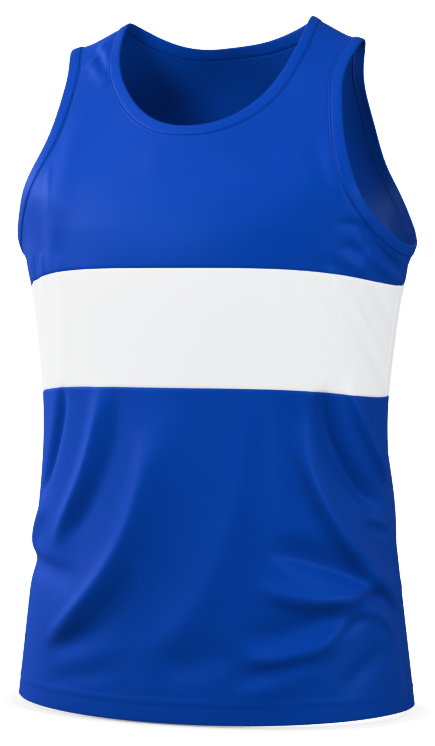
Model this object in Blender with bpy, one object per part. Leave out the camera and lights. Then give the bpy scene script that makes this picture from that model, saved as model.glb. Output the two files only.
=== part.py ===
"""Running singlet: nine cut pieces of knitted cloth, filled out as when worn.

Metres, +Z up. The front faces -Y and the wearer's left is +X. The origin lies midway between the
two straps, at the height of the shoulder ridge that carries the garment.

Every piece follows one cloth surface. A place on it is given by the panel (front or back), by
"across" (0 on the centre line, 1 on the wearer's left side seam, -1 on the right one) and by
"level" (the height up to the underarm, and above it a measure that climbs over the shoulder).
"""
import math

import bmesh
import bpy
import numpy as np

GARMENT = "running_singlet"

# Driving sizes, in metres
WALL = 0.0015                 # one layer of the knit
SEAM_GAP = 0.0003             # between two pieces that are sewn together
BINDING_WIDTH = 0.0105        # folded strip round the neck and the armholes
BINDING_PROUD = 0.0006        # how far a binding stands out of the cloth beside it
BINDING_THICKNESS = 0.0027
HEM_DEPTH = 0.018             # turned-up hem
HEM_THICKNESS = 0.0026
HEM_STEP = 0.0009             # height in which the cloth thickens where the hem is turned
HEM_LEVEL = -0.674            # at the centre of the front and of the back
HEM_SIDE_RISE = 0.006         # the hem is higher at the side seams
BAND_TOP = -0.2350
BAND_BOTTOM = -0.3500
BAND_TOP_DIP = {1: 0.0170, -1: 0.0235}     # lower at the side seams, by wearer's left and right
BAND_BOTTOM_DIP = {1: 0.0110, -1: 0.0110}
BAND_DIP_SHARPNESS = 4        # the dip keeps to the sides
UNDERARM = -0.195             # level where the body turns in towards the shoulders
RIDGE_LEVEL = 0.205           # level of the shoulder ridge
QUARTER_GIRTH = 0.265         # from a centre line to a side seam, round the filled garment

# Shoulder ridge
NECK_POINT_HEIGHT = 0.0169    # top of the shoulder seam, beside the neck
RIDGE_FALL = 0.57             # drop of the ridge for each metre outwards
RIDGE_ROUNDING = 0.030
RIDGE_BACK = 0.0237           # the ridge lies behind the origin beside the neck
RIDGE_FORWARD = 0.25          # and comes forward as it goes outwards
RIDGE_TURN = 0.085            # from this distance off the centre
RIDGE_TURN_ROUNDING = 0.020
RIDGE_STEP = 0.006            # the armhole binding lies higher than the slope of the strap
RIDGE_STEP_AT = 0.146
RIDGE_STEP_ROUNDING = 0.009

# Neck opening: an ellipse seen from the front, by panel
NECK_HALF_WIDTH = 0.0982
NECK_CLIMB = {"front": 0.395, "back": 0.740}   # share of the shoulder's height at its lowest point
NECK_SKEW = {"front": 0.0, "back": 0.12}       # the worn back neck sits a little askew
NECK_POINTING = {"front": 1.0, "back": 2.0}    # 1 is an ellipse and 2 a parabola

# Cross-sections of the filled garment
BODY_COLUMNS = ("level", "half_width", "to_left", "front_depth", "back_depth", "squareness")
BODY = (
    (-0.674, 0.2085, 0.0000, 0.1340, 0.1300, 0.010),
    (-0.580, 0.1970, 0.0000, 0.1310, 0.1270, 0.010),
    (-0.478, 0.1850, 0.0000, 0.1270, 0.1220, 0.010),
    (-0.385, 0.1790, 0.0000, 0.1250, 0.1200, 0.010),
    (-0.303, 0.1858, 0.0010, 0.1270, 0.1230, 0.010),
    (-0.241, 0.1972, 0.0015, 0.1295, 0.1265, 0.010),
    (-0.195, 0.2100, 0.0008, 0.1292, 0.1273, 0.014),
    (-0.153, 0.2020, 0.0000, 0.1090, 0.1160, 0.065),
    (-0.100, 0.1970, 0.0000, 0.0770, 0.0950, 0.095),
    (-0.001, 0.1990, 0.0000, 0.0485, 0.0420, 0.095),
    (0.0785, 0.2005, 0.0000, 0.0265, 0.0220, 0.095),
    (0.1500, 0.2010, 0.0000, 0.0108, 0.0100, 0.098),
    (0.2050, 0.2012, 0.0000, 0.0000, 0.0000, 0.100),
)

# Folds of the worn cloth. Each runs from one place to another; "girth" is the distance round the
# garment from the front's centre line, positive to the wearer's left, and the back's centre line
# is at plus or minus twice the quarter girth. A bow pushes the middle of a fold sideways, and a
# negative height is a hollow.
FOLD_COLUMNS = ("from_girth", "from_level", "to_girth", "to_level", "bow", "width", "height")
FOLDS = (
    # front, lower right of the wearer: from the waist down and out
    (-0.012, -0.375, -0.112, -0.612, 0.013, 0.016, 0.0065),
    (0.016, -0.380, -0.086, -0.630, 0.013, 0.017, -0.0045),
    (-0.088, -0.365, -0.165, -0.512, 0.017, 0.014, 0.0050),
    (-0.185, -0.400, -0.215, -0.505, 0.000, 0.022, 0.0035),
    (-0.062, -0.548, -0.225, -0.512, -0.004, 0.013, -0.0060),
    (-0.085, -0.580, -0.205, -0.556, 0.000, 0.017, 0.0045),
    (-0.060, -0.640, -0.190, -0.610, 0.004, 0.015, -0.0030),
    # front, lower left of the wearer
    (0.128, -0.380, 0.264, -0.578, -0.022, 0.013, 0.0060),
    (0.166, -0.385, 0.268, -0.528, -0.014, 0.013, -0.0040),
    (0.176, -0.370, 0.262, -0.452, 0.000, 0.010, 0.0040),
    (0.090, -0.482, 0.226, -0.532, 0.000, 0.013, -0.0050),
    (0.080, -0.512, 0.232, -0.556, 0.004, 0.014, 0.0055),
    (0.140, -0.546, 0.290, -0.582, 0.000, 0.012, -0.0045),
    (0.046, -0.616, 0.196, -0.564, -0.006, 0.015, 0.0045),
    (0.042, -0.642, 0.190, -0.596, -0.006, 0.014, -0.0040),
    (0.200, -0.640, 0.330, -0.600, -0.004, 0.015, 0.0030),
    # front, band and underarms
    (0.134, -0.222, 0.262, -0.364, -0.010, 0.012, 0.0025),
    (0.106, -0.222, 0.190, -0.370, -0.006, 0.012, 0.0025),
    (0.138, -0.180, 0.270, -0.244, 0.000, 0.013, -0.0035),
    (0.112, -0.178, 0.192, -0.252, 0.000, 0.012, 0.0025),
    (-0.108, -0.215, -0.128, -0.372, 0.000, 0.012, 0.0025),
    (-0.072, -0.225, -0.084, -0.372, 0.000, 0.012, 0.0020),
    (-0.096, -0.130, -0.134, -0.256, 0.004, 0.011, 0.0030),
    (-0.082, -0.040, -0.092, -0.196, 0.000, 0.012, 0.0020),
    (-0.150, -0.196, -0.268, -0.250, 0.000, 0.012, -0.0030),
    # back, from the waist down and out
    (0.505, -0.380, 0.418, -0.612, -0.013, 0.017, 0.0060),
    (0.474, -0.386, 0.386, -0.620, -0.013, 0.016, -0.0045),
    (0.396, -0.372, 0.322, -0.510, -0.014, 0.014, 0.0050),
    (0.462, -0.512, 0.306, -0.556, 0.004, 0.014, 0.0045),
    (0.420, -0.640, 0.318, -0.602, 0.004, 0.015, -0.0030),
    (-0.486, -0.372, -0.372, -0.584, 0.018, 0.015, 0.0060),
    (-0.452, -0.384, -0.352, -0.560, 0.014, 0.014, -0.0040),
    (-0.392, -0.370, -0.288, -0.470, 0.006, 0.013, 0.0045),
    (-0.476, -0.596, -0.318, -0.552, 0.000, 0.015, 0.0050),
    (-0.480, -0.620, -0.330, -0.590, 0.000, 0.014, -0.0040),
    # back, band and underarms
    (0.420, -0.214, 0.360, -0.368, 0.004, 0.013, 0.0025),
    (-0.448, -0.220, -0.384, -0.370, 0.004, 0.013, 0.0025),
    (0.396, -0.176, 0.272, -0.242, 0.000, 0.013, -0.0035),
    (-0.388, -0.180, -0.270, -0.246, 0.000, 0.013, -0.0035),
    (0.470, -0.404, -0.474, -0.398, 0.006, 0.014, 0.0030),
)

# Edge of the armhole openings, from the side seam up to the ridge
ARMHOLE_COLUMNS = ("across", "level")
ARMHOLE = {
    "front": (
        (1.000, -0.2125),
        (0.840, -0.2065),
        (0.700, -0.1860),
        (0.580, -0.1500),
        (0.474, -0.1070),
        (0.414, -0.0510),
        (0.396, 0.0250),
        (0.410, 0.1000),
        (0.418, 0.2050),
    ),
    "back": (
        (1.000, -0.2125),
        (0.850, -0.2080),
        (0.710, -0.1900),
        (0.565, -0.1600),
        (0.430, -0.1200),
        (0.388, -0.0600),
        (0.388, 0.0200),
        (0.404, 0.1000),
        (0.418, 0.2050),
    ),
}

# Section of a binding: share of its width from the seam to the opening, and share of its thickness
# from the inside to the outside
BINDING_SECTION_COLUMNS = ("width", "thickness")
BINDING_SECTION = (
    (0.03, 0.93),
    (0.50, 1.00),
    (0.93, 0.95),
    (1.00, 0.50),
    (0.93, 0.05),
    (0.50, 0.00),
    (0.03, 0.05),
)

# Steps of the meshes
HALF_COLUMNS = 16             # from a centre line to a side seam
CENTRE_STEPS = 8              # centre line, from the band up to the neck seam
NECK_STEPS = 16               # neck seam of a half panel
SIDE_STEPS = 2                # side seam, from the band up to the armhole seam
ARMHOLE_STEPS = CENTRE_STEPS + NECK_STEPS - SIDE_STEPS
BAND_ROWS = 6
LOWER_ROWS = 18
HEM_ROWS = 2
TURN_LENGTH = 0.045           # a bend of one radian takes as many steps as this length of edge
EDGE_SAMPLES = 400            # fine steps along an edge before it is spaced out evenly
SPREAD_PASSES = 400           # rounds of moving a grid's inner points apart
HALVINGS = 40                 # rounds of searching for a breadth
NUDGE = 0.0001                # step for measuring how the surface runs
SHARP_ANGLE = 50              # degrees; a sharper edge is shaded as an edge
JOIN_DISTANCE = 0.00005       # points of two halves on the centre line become one

BLUE = (0.012, 0.075, 0.49, 1.0)
WHITE = (0.83, 0.84, 0.86, 1.0)


def spline(knots, values, at, flat_start=False, flat_end=False):
    """Smooth curve through the rows of a table; an end is flat or free."""
    step = np.diff(knots)
    rise = np.diff(values) / step
    count = len(knots)
    system = np.eye(count)
    wanted = np.zeros(count)
    for row in range(1, count - 1):
        before, after = 1 / step[row - 1], 1 / step[row]
        system[row, row - 1:row + 2] = before, 2 * (before + after), after
        wanted[row] = 3 * (rise[row - 1] * before + rise[row] * after)
    if not flat_start:
        system[0, :2] = 2, 1
        wanted[0] = 3 * rise[0]
    if not flat_end:
        system[-1, -2:] = 1, 2
        wanted[-1] = 3 * rise[-1]
    slope = np.linalg.solve(system, wanted)
    at = np.clip(at, knots[0], knots[-1])
    row = np.clip(np.searchsorted(knots, at, side="right") - 1, 0, count - 2)
    t = (at - knots[row]) / step[row]
    return ((1 + 2 * t) * (1 - t) ** 2 * values[row]
            + t * (1 - t) ** 2 * step[row] * slope[row]
            + t * t * (3 - 2 * t) * values[row + 1]
            + t * t * (t - 1) * step[row] * slope[row + 1])


def body(name, level):
    """One column of the cross-section table, at a level."""
    columns = dict(zip(BODY_COLUMNS, np.array(BODY).T))
    return spline(columns["level"], columns[name], level)


def climb(level):
    """Share of the height from the underarm to the ridge; it flattens over the shoulder."""
    share = np.clip((level - UNDERARM) / (RIDGE_LEVEL - UNDERARM), 0, 1)
    return 1 - (1 - share) ** 2


def level_of_climb(share):
    return UNDERARM + (RIDGE_LEVEL - UNDERARM) * (1 - np.sqrt(np.clip(1 - share, 0, 1)))


def breadth(across, level):
    """Sideways distance from the centre plane."""
    angle = across * math.pi / 2
    square = body("squareness", level)
    share = (np.sin(angle) + square * np.sin(3 * angle)) / (1 - square)
    return body("half_width", level) * share


def ridge_height(x):
    run = np.hypot(x, RIDGE_ROUNDING) - math.hypot(NECK_HALF_WIDTH, RIDGE_ROUNDING)
    step = RIDGE_STEP * (1 + np.tanh((np.abs(x) - RIDGE_STEP_AT) / RIDGE_STEP_ROUNDING)) / 2
    return NECK_POINT_HEIGHT - RIDGE_FALL * run + step


def ridge_setback(x):
    past = np.abs(x) - RIDGE_TURN
    return RIDGE_BACK - RIDGE_FORWARD * (past + np.hypot(past, RIDGE_TURN_ROUNDING)) / 2


def base(panel, across, level):
    """Point of the cloth surface, before any fold."""
    facing = -1 if panel == "front" else 1
    angle = across * math.pi / 2
    square = body("squareness", level)
    bulge = (np.cos(angle) - square * np.cos(3 * angle)) / (1 - square)
    risen = climb(level)
    x = breadth(across, level) + body("to_left", level)
    y = facing * body(panel + "_depth", level) * bulge + risen * ridge_setback(x)
    z = np.where(level < UNDERARM, level, UNDERARM + risen * (ridge_height(x) - UNDERARM))
    return np.stack([x, y, z], -1)


def rates(panel, across, level):
    """How the surface point moves with across and with level."""
    here = base(panel, across, level)
    sideways = (base(panel, across + NUDGE, level) - base(panel, across - NUDGE, level)) / (2 * NUDGE)
    upwards = (here - base(panel, across, level - NUDGE)) / NUDGE
    return sideways, upwards


def outward(panel, across, level):
    """Unit vector out of the garment."""
    sideways, upwards = rates(panel, across, level)
    normal = np.cross(sideways, upwards)
    if panel == "back":
        normal = -normal
    return normal / np.linalg.norm(normal, axis=-1, keepdims=True)


def wrapped(girth):
    """The same place, less than half a turn away."""
    return (girth + 2 * QUARTER_GIRTH) % (4 * QUARTER_GIRTH) - 2 * QUARTER_GIRTH


def relief(panel, across, level):
    """Height of all the folds at a place."""
    girth = across * QUARTER_GIRTH
    if panel == "back":
        girth = np.where(across < 0, -2, 2) * QUARTER_GIRTH - girth
    total = np.zeros(np.shape(level))
    for row in FOLDS:
        fold = dict(zip(FOLD_COLUMNS, row))
        around = wrapped(fold["to_girth"] - fold["from_girth"])
        down = fold["to_level"] - fold["from_level"]
        length = math.hypot(around, down)
        past = wrapped(girth - fold["from_girth"])
        below = level - fold["from_level"]
        share = (past * around + below * down) / length ** 2
        aside = (below * around - past * down) / length
        middle = np.clip(1 - (2 * share - 1) ** 2, 0, 1)
        aside = aside - fold["bow"] * middle
        ends = (1 - np.clip(np.abs(2 * share - 1), 0, 1) ** 4) ** 2
        total = total + fold["height"] * ends * np.exp(-(aside / fold["width"]) ** 2)
    return total


def layer(panel, across, level, lift):
    """Points at a lift above the folded cloth, negative towards the inside."""
    across, level = np.broadcast_arrays(np.asarray(across, float), np.asarray(level, float))
    height = relief(panel, across, level) + lift
    return base(panel, across, level) + outward(panel, across, level) * height[..., None]


def across_at(x, level):
    """The across whose breadth is x."""
    low = np.zeros_like(x)
    high = np.ones_like(x)
    for _ in range(HALVINGS):
        middle = (low + high) / 2
        short = breadth(middle, level) < np.abs(x)
        low = np.where(short, middle, low)
        high = np.where(short, high, middle)
    return np.sign(x) * (low + high) / 2


def neck_opening(panel, side):
    """Fine points of the neck opening's edge, from the centre line to the ridge."""
    turn = np.linspace(0, math.pi / 2, EDGE_SAMPLES)
    lean = 1 - NECK_SKEW[panel] * side * np.sin(turn)
    drop = (1 - NECK_CLIMB[panel]) * np.cos(turn) ** NECK_POINTING[panel] * lean
    level = level_of_climb(1 - drop)
    return across_at(side * NECK_HALF_WIDTH * np.sin(turn), level), level


def armhole_opening(panel, side):
    """Fine points of the armhole opening's edge, from the side seam to the ridge."""
    columns = dict(zip(ARMHOLE_COLUMNS, np.array(ARMHOLE[panel]).T))
    rows = np.arange(len(ARMHOLE[panel]), dtype=float)
    at = np.linspace(0, rows[-1], EDGE_SAMPLES)
    return (side * spline(rows, columns["across"], at, flat_end=True),
            spline(rows, columns["level"], at, flat_start=True))


def set_in(panel, across, level, width, towards):
    """An edge moved over the cloth by a width: towards +1 is to its left as it runs, -1 to its right."""
    sideways, upwards = rates(panel, across, level)
    across_length = np.linalg.norm(sideways, axis=-1)
    level_length = np.linalg.norm(upwards, axis=-1)
    run = np.gradient(across) * across_length
    rise = np.gradient(level) * level_length
    length = np.hypot(run, rise)
    return (across - towards * width * rise / length / across_length,
            level + towards * width * run / length / level_length)


def bound_edge(panel, side, opening, steps, towards):
    """Seam line and opening edge of a binding, as paired stations that are closer where it bends."""
    across, level = opening(panel, side)
    seam_across, seam_level = set_in(panel, across, level, BINDING_WIDTH, towards)
    seam_level = np.minimum(seam_level, RIDGE_LEVEL)
    moved = np.diff(base(panel, seam_across, seam_level), axis=0)
    turned = np.diff(outward(panel, seam_across, seam_level), axis=0)
    effort = np.linalg.norm(moved, axis=1) + TURN_LENGTH * np.linalg.norm(turned, axis=1)
    travelled = np.concatenate([[0], np.cumsum(effort)])
    stations = np.linspace(0, travelled[-1], steps + 1)
    return [np.interp(stations, travelled, values)
            for values in (seam_across, seam_level, across, level)]


def neck_edge(panel, side):
    edge = bound_edge(panel, side, neck_opening, NECK_STEPS, -side)
    edge[0][0] = 0.0
    return edge


def armhole_edge(panel, side):
    return bound_edge(panel, side, armhole_opening, ARMHOLE_STEPS, side)


def sag(dip, across):
    """Drop of a band edge, level at the centre and again at the side seam."""
    depth = np.where(across > 0, dip[1], dip[-1])
    return depth * np.sin(across * math.pi / 2) ** BAND_DIP_SHARPNESS


def band_top(across):
    return BAND_TOP - sag(BAND_TOP_DIP, across)


def band_bottom(across):
    return BAND_BOTTOM - sag(BAND_BOTTOM_DIP, across)


def hem_line(across):
    return HEM_LEVEL + HEM_SIDE_RISE * np.sin(across * math.pi / 2) ** 2


def seam_trim(panel, across, level):
    """Half a seam's gap, in units of across and of level."""
    sideways, upwards = rates(panel, np.asarray(across, float), np.asarray(level, float))
    return (SEAM_GAP / 2 / np.linalg.norm(sideways, axis=-1),
            SEAM_GAP / 2 / np.linalg.norm(upwards, axis=-1))


def columns_across():
    """Across of the columns of a full panel, clear of both side seams."""
    edge = 1 - seam_trim("front", 1.0, BAND_TOP)[0]
    return np.linspace(-edge, edge, 2 * HALF_COLUMNS + 1)


def strip_grid(across, top, bottom, rows):
    """Rows between two level lines that run from side seam to side seam."""
    share = np.linspace(0, 1, rows + 1)[:, None]
    level = top * (1 - share) + bottom * share
    return np.broadcast_to(across, level.shape), level


def band_grid():
    across = columns_across()
    top = band_top(across) - SEAM_GAP / 2
    bottom = band_bottom(across) + SEAM_GAP / 2
    return strip_grid(across, top, bottom, BAND_ROWS)


def lower_grid():
    """Rows from the band down to the turned hem, and on to its edge."""
    across = columns_across()
    top = band_bottom(across) - SEAM_GAP / 2
    hem_top = hem_line(across) + HEM_DEPTH
    single = strip_grid(across, top, hem_top, LOWER_ROWS)
    turned = strip_grid(across, hem_top - HEM_STEP, hem_line(across), HEM_ROWS)
    return np.concatenate([single[0], turned[0]]), np.concatenate([single[1], turned[1]])


def spread(across, level):
    """Move the inner points of a grid so that no row or column of it crosses a hollow edge."""
    grid = np.stack([across * QUARTER_GIRTH, level])
    for _ in range(SPREAD_PASSES):
        before, after = grid[:, 1:-1, :-2], grid[:, 1:-1, 2:]
        below, above = grid[:, :-2, 1:-1], grid[:, 2:, 1:-1]
        twist = (grid[:, 2:, 2:] - grid[:, :-2, 2:] - grid[:, 2:, :-2] + grid[:, :-2, :-2]) / 2
        along = after - before
        up = above - below
        weight_along = (up ** 2).sum(0)
        weight_up = (along ** 2).sum(0)
        shear = (along * up).sum(0)
        middle = weight_along * (before + after) + weight_up * (below + above) - shear * twist
        grid[:, 1:-1, 1:-1] = middle / (2 * (weight_along + weight_up))
    return grid[0] / QUARTER_GIRTH, grid[1]


def half_upper_grid(panel, side):
    """Across and level of a half panel: rows from the centre line and neck to the armhole side."""
    neck_across, neck_level = neck_edge(panel, side)[:2]
    arm_across, arm_level = armhole_edge(panel, side)[:2]
    ridge_trim = seam_trim(panel, neck_across[-1], RIDGE_LEVEL)[1]
    side_trim = seam_trim(panel, 1.0, BAND_TOP)[0]
    foot = band_top(np.array([0.0, side])) + SEAM_GAP / 2
    side_level = np.linspace(foot[1], arm_level[0], SIDE_STEPS + 1)
    centre_level = np.concatenate([
        np.linspace(foot[0], arm_level[0], SIDE_STEPS + 1)[:-1],
        np.linspace(arm_level[0], neck_level[0], CENTRE_STEPS - SIDE_STEPS + 1)])
    inner = np.array([np.concatenate([np.zeros(CENTRE_STEPS), neck_across]),
                      np.concatenate([centre_level[:-1], neck_level])])
    outer = np.array([np.concatenate([np.full(SIDE_STEPS, float(side)), arm_across]),
                      np.concatenate([side_level[:-1], arm_level])])
    inner[1, -1] = outer[1, -1] = RIDGE_LEVEL - ridge_trim
    outer[0] = np.clip(outer[0], side_trim - 1, 1 - side_trim)
    share = np.linspace(0, 1, HALF_COLUMNS + 1)
    across, level = (a[:, None] * (1 - share) + b[:, None] * share for a, b in zip(inner, outer))
    rise = np.linspace(1, 0, len(level))[:, None] ** 2
    straight = foot[0] * (1 - share) + foot[1] * share
    level = level + rise * (band_top(across[0]) + SEAM_GAP / 2 - straight)
    return spread(across, level)


def add_layer_grid(mesh, outer, inner):
    """A grid of outer points, each of which knows the way to its inner point."""
    inward = mesh.verts.layers.float_vector["inward"]
    made = bmesh.ops.create_grid(mesh, x_segments=outer.shape[1] - 1,
                                 y_segments=outer.shape[0] - 1, size=0.5)["verts"]
    rows, columns = outer.shape[:2]
    for vert in made:
        column = round((vert.co.x + 0.5) * (columns - 1))
        row = round((vert.co.y + 0.5) * (rows - 1))
        vert.co = outer[row, column]
        vert[inward] = inner[row, column] - outer[row, column]
    faces = {face for vert in made for face in vert.link_faces}
    some = next(iter(faces))
    some.normal_update()
    if some.normal.dot(-some.verts[0][inward]) < 0:
        bmesh.ops.reverse_faces(mesh, faces=list(faces))


def finish_object(mesh, name, material):
    """Turn a closed bmesh into a smooth-shaded object of the garment's collection."""
    bmesh.ops.recalc_face_normals(mesh, faces=mesh.faces)
    if mesh.calc_volume(signed=True) < 0:
        bmesh.ops.reverse_faces(mesh, faces=mesh.faces)
    data = bpy.data.meshes.new(name)
    mesh.to_mesh(data)
    mesh.free()
    data.shade_smooth()
    data.set_sharp_from_angle(angle=math.radians(SHARP_ANGLE))
    data.materials.append(material)
    piece = bpy.data.objects.new(name, data)
    bpy.data.collections[GARMENT].objects.link(piece)


def cloth_piece(name, grids, material):
    """A closed wall from open grids of outer and inner points, joined where they share an edge."""
    mesh = bmesh.new()
    mesh.verts.layers.float_vector.new("inward")
    for outer, inner in grids:
        add_layer_grid(mesh, outer, inner)
    bmesh.ops.remove_doubles(mesh, verts=mesh.verts, dist=JOIN_DISTANCE)
    inward = mesh.verts.layers.float_vector["inward"]
    extruded = bmesh.ops.extrude_face_region(mesh, geom=mesh.faces[:] + mesh.edges[:] + mesh.verts[:],
                                             use_keep_orig=True)["geom"]
    for vert in (item for item in extruded if isinstance(item, bmesh.types.BMVert)):
        vert.co += vert[inward]
    finish_object(mesh, name, material)


def panel_piece(name, panel, grids, material, thickness=WALL):
    walls = [(layer(panel, across, level, 0.0), layer(panel, across, level, -thickness))
             for across, level in grids]
    cloth_piece(name, walls, material)


def fabric(name, colour):
    material = bpy.data.materials.new(name)
    material.use_nodes = True
    shader = material.node_tree.nodes["Principled BSDF"]
    shader.inputs["Base Color"].default_value = colour
    shader.inputs["Roughness"].default_value = 0.55
    shader.inputs["Metallic"].default_value = 0.0
    material.diffuse_color = colour
    return material


def binding_sections(panel, edge):
    """Section points at each station of a bound edge."""
    seam_across, seam_level, across, level = edge
    rings = []
    for row in BINDING_SECTION:
        corner = dict(zip(BINDING_SECTION_COLUMNS, row))
        share = corner["width"]
        lift = BINDING_PROUD - BINDING_THICKNESS * (1 - corner["thickness"])
        rings.append(layer(panel, seam_across * (1 - share) + across * share,
                           seam_level * (1 - share) + level * share, lift))
    return np.stack(rings, 1)


def binding_piece(name, stretches, material):
    """A closed ring of sections. Each stretch starts where the one before it ends."""
    sections = np.concatenate([stretch[:-1] for stretch in stretches])
    mesh = bmesh.new()
    loops = [[mesh.verts.new(point) for point in section] for section in sections]
    for here, there in zip(loops, loops[1:] + loops[:1]):
        for corner in range(len(here)):
            following = (corner + 1) % len(here)
            mesh.faces.new((here[corner], here[following], there[following], there[corner]))
    finish_object(mesh, name, material)


def make_neck_binding(material):
    stretches = [binding_sections("front", neck_edge("front", 1)),
                 binding_sections("back", neck_edge("back", 1))[::-1],
                 binding_sections("back", neck_edge("back", -1)),
                 binding_sections("front", neck_edge("front", -1))[::-1]]
    binding_piece("neck_binding", stretches, material)


def make_armhole_binding(name, side, material):
    stretches = [binding_sections("front", armhole_edge("front", side)),
                 binding_sections("back", armhole_edge("back", side))[::-1]]
    binding_piece(name, stretches, material)


def make_panels(blue, white):
    for panel in ("front", "back"):
        halves = [half_upper_grid(panel, side) for side in (1, -1)]
        panel_piece(panel + "_upper", panel, halves, blue)
        panel_piece(panel + "_band", panel, [band_grid()], white)
        across, level = lower_grid()
        thickness = np.full(level.shape, WALL)
        thickness[LOWER_ROWS + 1:] = HEM_THICKNESS
        panel_piece(panel + "_lower", panel, [(across, level)], blue, thickness)


def main():
    for thing in list(bpy.data.objects):
        bpy.data.objects.remove(thing, do_unlink=True)
    garment = bpy.data.collections.new(GARMENT)
    bpy.context.scene.collection.children.link(garment)
    blue = fabric("blue_knit", BLUE)
    white = fabric("white_knit", WHITE)
    make_panels(blue, white)
    make_neck_binding(blue)
    make_armhole_binding("armhole_binding_left", 1, blue)
    make_armhole_binding("armhole_binding_right", -1, blue)


main()
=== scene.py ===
"""Looks of the running singlet: cloth shells, bindings, stitching, materials, light and camera.

Metres, +Z up. The front faces -Y and the wearer's left is +X. The cloth follows the same surface as
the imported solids: a place on it is given by the panel, by "across" (0 on the centre line, 1 on the
wearer's left side seam) and by "level" (the height up to the underarm, then a measure that climbs
over the shoulder).
"""

import math

import bmesh
import bpy
import numpy as np
from mathutils import Matrix, Vector
from mathutils.kdtree import KDTree


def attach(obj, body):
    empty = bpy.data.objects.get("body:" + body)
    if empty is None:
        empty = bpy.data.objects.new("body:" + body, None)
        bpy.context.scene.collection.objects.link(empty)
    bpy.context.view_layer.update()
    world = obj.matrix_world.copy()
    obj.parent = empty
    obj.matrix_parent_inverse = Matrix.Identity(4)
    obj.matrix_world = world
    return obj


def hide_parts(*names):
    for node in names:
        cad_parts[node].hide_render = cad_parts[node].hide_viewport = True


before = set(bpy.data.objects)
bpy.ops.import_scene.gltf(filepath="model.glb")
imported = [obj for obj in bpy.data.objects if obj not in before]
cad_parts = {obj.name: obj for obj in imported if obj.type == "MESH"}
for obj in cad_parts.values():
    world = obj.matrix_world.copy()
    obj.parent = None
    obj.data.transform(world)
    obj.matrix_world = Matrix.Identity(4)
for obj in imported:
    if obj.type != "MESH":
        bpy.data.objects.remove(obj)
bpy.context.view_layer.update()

# ------------------------ sizes of the garment, in metres
WALL = 0.0012                 # one layer of the knit
BINDING_WIDTH = 0.0105        # folded strip round the neck and the armholes
BINDING_PROUD = 0.0009        # how far a binding stands out of the cloth beside it
BINDING_THICKNESS = 0.0030
HEM_DEPTH = 0.018             # turned-up hem
HEM_THICKNESS = 0.0026
HEM_LEVEL = -0.674
HEM_SIDE_RISE = 0.006
BAND_TOP = -0.2350
BAND_BOTTOM = -0.3500
BAND_TOP_DIP = {1: 0.0170, -1: 0.0235}
BAND_BOTTOM_DIP = {1: 0.0110, -1: 0.0110}
BAND_DIP_SHARPNESS = 4
UNDERARM = -0.195
RIDGE_LEVEL = 0.205
QUARTER_GIRTH = 0.265         # from a centre line to a side seam, round the filled garment

# Shoulder ridge
NECK_POINT_HEIGHT = 0.0169
RIDGE_FALL = 0.57
RIDGE_ROUNDING = 0.030
RIDGE_BACK = 0.0237
RIDGE_FORWARD = 0.25
RIDGE_TURN = 0.085
RIDGE_TURN_ROUNDING = 0.020
RIDGE_STEP = 0.006
RIDGE_STEP_AT = 0.146
RIDGE_STEP_ROUNDING = 0.009

# Neck opening
NECK_HALF_WIDTH = 0.0982
NECK_CLIMB = {"front": 0.395, "back": 0.740}
NECK_SKEW = {"front": 0.0, "back": 0.12}
NECK_POINTING = {"front": 1.0, "back": 2.0}

# Cross-sections of the filled garment
BODY_COLUMNS = ("level", "half_width", "to_left", "front_depth", "back_depth", "squareness")
BODY = (
    (-0.674, 0.2085, 0.0000, 0.1340, 0.1300, 0.010),
    (-0.580, 0.1970, 0.0000, 0.1310, 0.1270, 0.010),
    (-0.478, 0.1850, 0.0000, 0.1270, 0.1220, 0.010),
    (-0.385, 0.1790, 0.0000, 0.1250, 0.1200, 0.010),
    (-0.303, 0.1858, 0.0010, 0.1270, 0.1230, 0.010),
    (-0.241, 0.1972, 0.0015, 0.1285, 0.1265, 0.010),
    (-0.195, 0.2100, 0.0008, 0.1235, 0.1250, 0.014),
    (-0.153, 0.2020, 0.0000, 0.1065, 0.1150, 0.065),
    (-0.100, 0.1970, 0.0000, 0.0770, 0.0950, 0.095),
    (-0.001, 0.1990, 0.0000, 0.0485, 0.0420, 0.095),
    (0.0785, 0.2005, 0.0000, 0.0265, 0.0220, 0.095),
    (0.1500, 0.2010, 0.0000, 0.0108, 0.0100, 0.098),
    (0.2050, 0.2012, 0.0000, 0.0000, 0.0000, 0.100),
)

# Edge of the armhole openings, from the side seam up to the ridge
ARMHOLE_COLUMNS = ("across", "level")
ARMHOLE = {
    "front": (
        (1.000, -0.2125),
        (0.840, -0.2065),
        (0.700, -0.1860),
        (0.580, -0.1500),
        (0.474, -0.1070),
        (0.414, -0.0510),
        (0.396, 0.0250),
        (0.410, 0.1000),
        (0.418, 0.2050),
    ),
    "back": (
        (1.000, -0.2125),
        (0.850, -0.2080),
        (0.710, -0.1900),
        (0.565, -0.1600),
        (0.430, -0.1200),
        (0.388, -0.0600),
        (0.388, 0.0200),
        (0.404, 0.1000),
        (0.418, 0.2050),
    ),
}

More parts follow.
